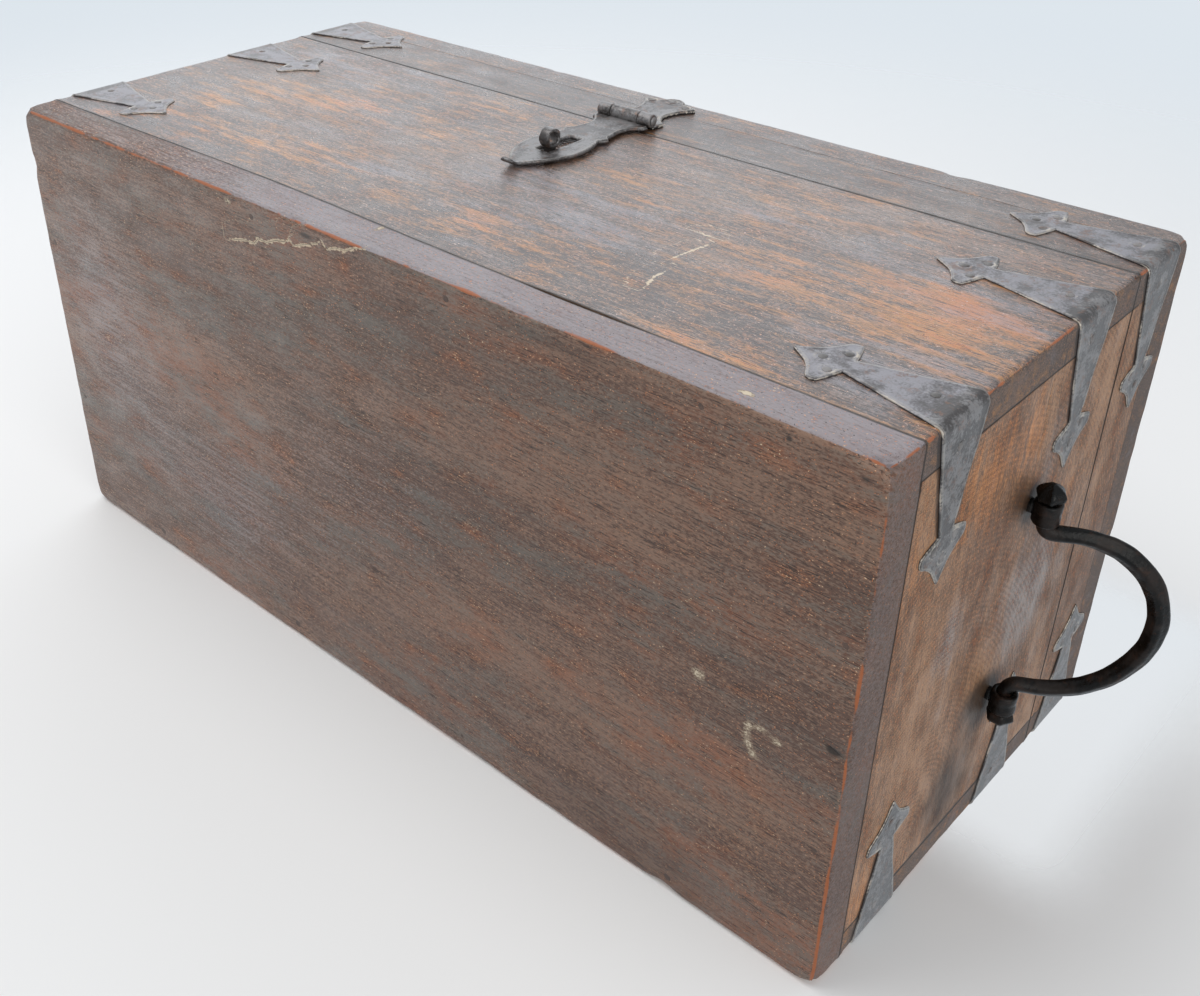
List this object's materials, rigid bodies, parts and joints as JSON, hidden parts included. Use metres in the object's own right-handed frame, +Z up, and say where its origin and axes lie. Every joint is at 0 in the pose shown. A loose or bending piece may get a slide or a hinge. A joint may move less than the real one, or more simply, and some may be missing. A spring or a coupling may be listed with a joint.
{
  "type": "storage chest",
  "caption": "Iron-bound hardwood box chest with a hinged lid, slotted hasp over a ring staple, spade-ended corner straps and a forged bail handle at each end.",
  "frame": {"origin": "centre of the underside of the bottom board, on the surface that the chest stands on", "axes": "+X along the length to the right-hand end as seen from the front, -Y out of the front with the hasp, +Z up through the lid"},
  "size_m": [0.5745, 0.2633, 0.236],
  "materials": {
    "dark_wood": "worn dark stained hardwood with a waxed sheen",
    "end_wood": "worn brown hardwood, greyed with age",
    "strap_iron": "dark oxidised wrought sheet iron",
    "forged_iron": "near-black forged iron, satin",
    "nail_iron": "worn nail heads"
  },
  "bodies": {
    "chest": {"bottom_board": "dark_wood", "front_panel": "dark_wood", "back_panel": "dark_wood", "left_end_panel": "end_wood", "right_end_panel": "end_wood", "hasp_staple": "strap_iron", "left_hinge_body_leaf": "strap_iron", "right_hinge_body_leaf": "strap_iron", "left_hinge_pin": "strap_iron", "right_hinge_pin": "strap_iron", "left_handle_eye_front": "forged_iron", "left_handle_eye_back": "forged_iron", "right_handle_eye_front": "forged_iron", "right_handle_eye_back": "forged_iron", "strap_front_left_lower": "strap_iron", "strap_front_left_upper": "strap_iron", "strap_front_right_lower": "strap_iron", "strap_front_right_upper": "strap_iron", "strap_back_left_lower": "strap_iron", "strap_back_left_upper": "strap_iron", "strap_back_right_lower": "strap_iron", "strap_back_right_upper": "strap_iron", "body_strap_nails": "nail_iron", "carcass_nails": "nail_iron", "bottom_board_nails": "nail_iron", "hinge_body_nails": "nail_iron"},
    "lid": {"lid_top_board": "dark_wood", "lid_front_rail": "dark_wood", "lid_back_rail": "dark_wood", "lid_left_rail": "end_wood", "lid_right_rail": "end_wood", "hasp_plate": "strap_iron", "hasp_pin": "strap_iron", "left_hinge_lid_leaf": "strap_iron", "right_hinge_lid_leaf": "strap_iron", "lid_strap_front_left": "strap_iron", "lid_strap_front_right": "strap_iron", "lid_strap_back_left": "strap_iron", "lid_strap_back_right": "strap_iron", "lid_strap_nails": "nail_iron", "lid_top_nails": "nail_iron", "hasp_plate_nails": "nail_iron", "hinge_lid_nails": "nail_iron"},
    "hasp": {"hasp_leaf": "strap_iron"},
    "left_handle": {"left_handle_bail": "forged_iron"},
    "right_handle": {"right_handle_bail": "forged_iron"}
  },
  "joints": [
    {"name": "lid_swing", "type": "hinge", "parent": "chest", "child": "lid", "pos_m": [0, 0.12585, 0.184], "axis": [-1, 0, 0], "range_deg": [0, 110]},
    {"name": "hasp_swing", "type": "hinge", "parent": "lid", "child": "hasp", "pos_m": [-0.005, -0.126, 0.1903], "axis": [-1, 0, 0], "range_deg": [0, 170]},
    {"name": "right_handle_swing", "type": "hinge", "parent": "chest", "child": "right_handle", "pos_m": [0.2607, 0, 0.12], "axis": [0, -1, 0], "range_deg": [-120, 58]},
    {"name": "left_handle_swing", "type": "hinge", "parent": "chest", "child": "left_handle", "pos_m": [-0.2607, 0, 0.12], "axis": [0, 1, 0], "range_deg": [0, 178]}
  ]
}
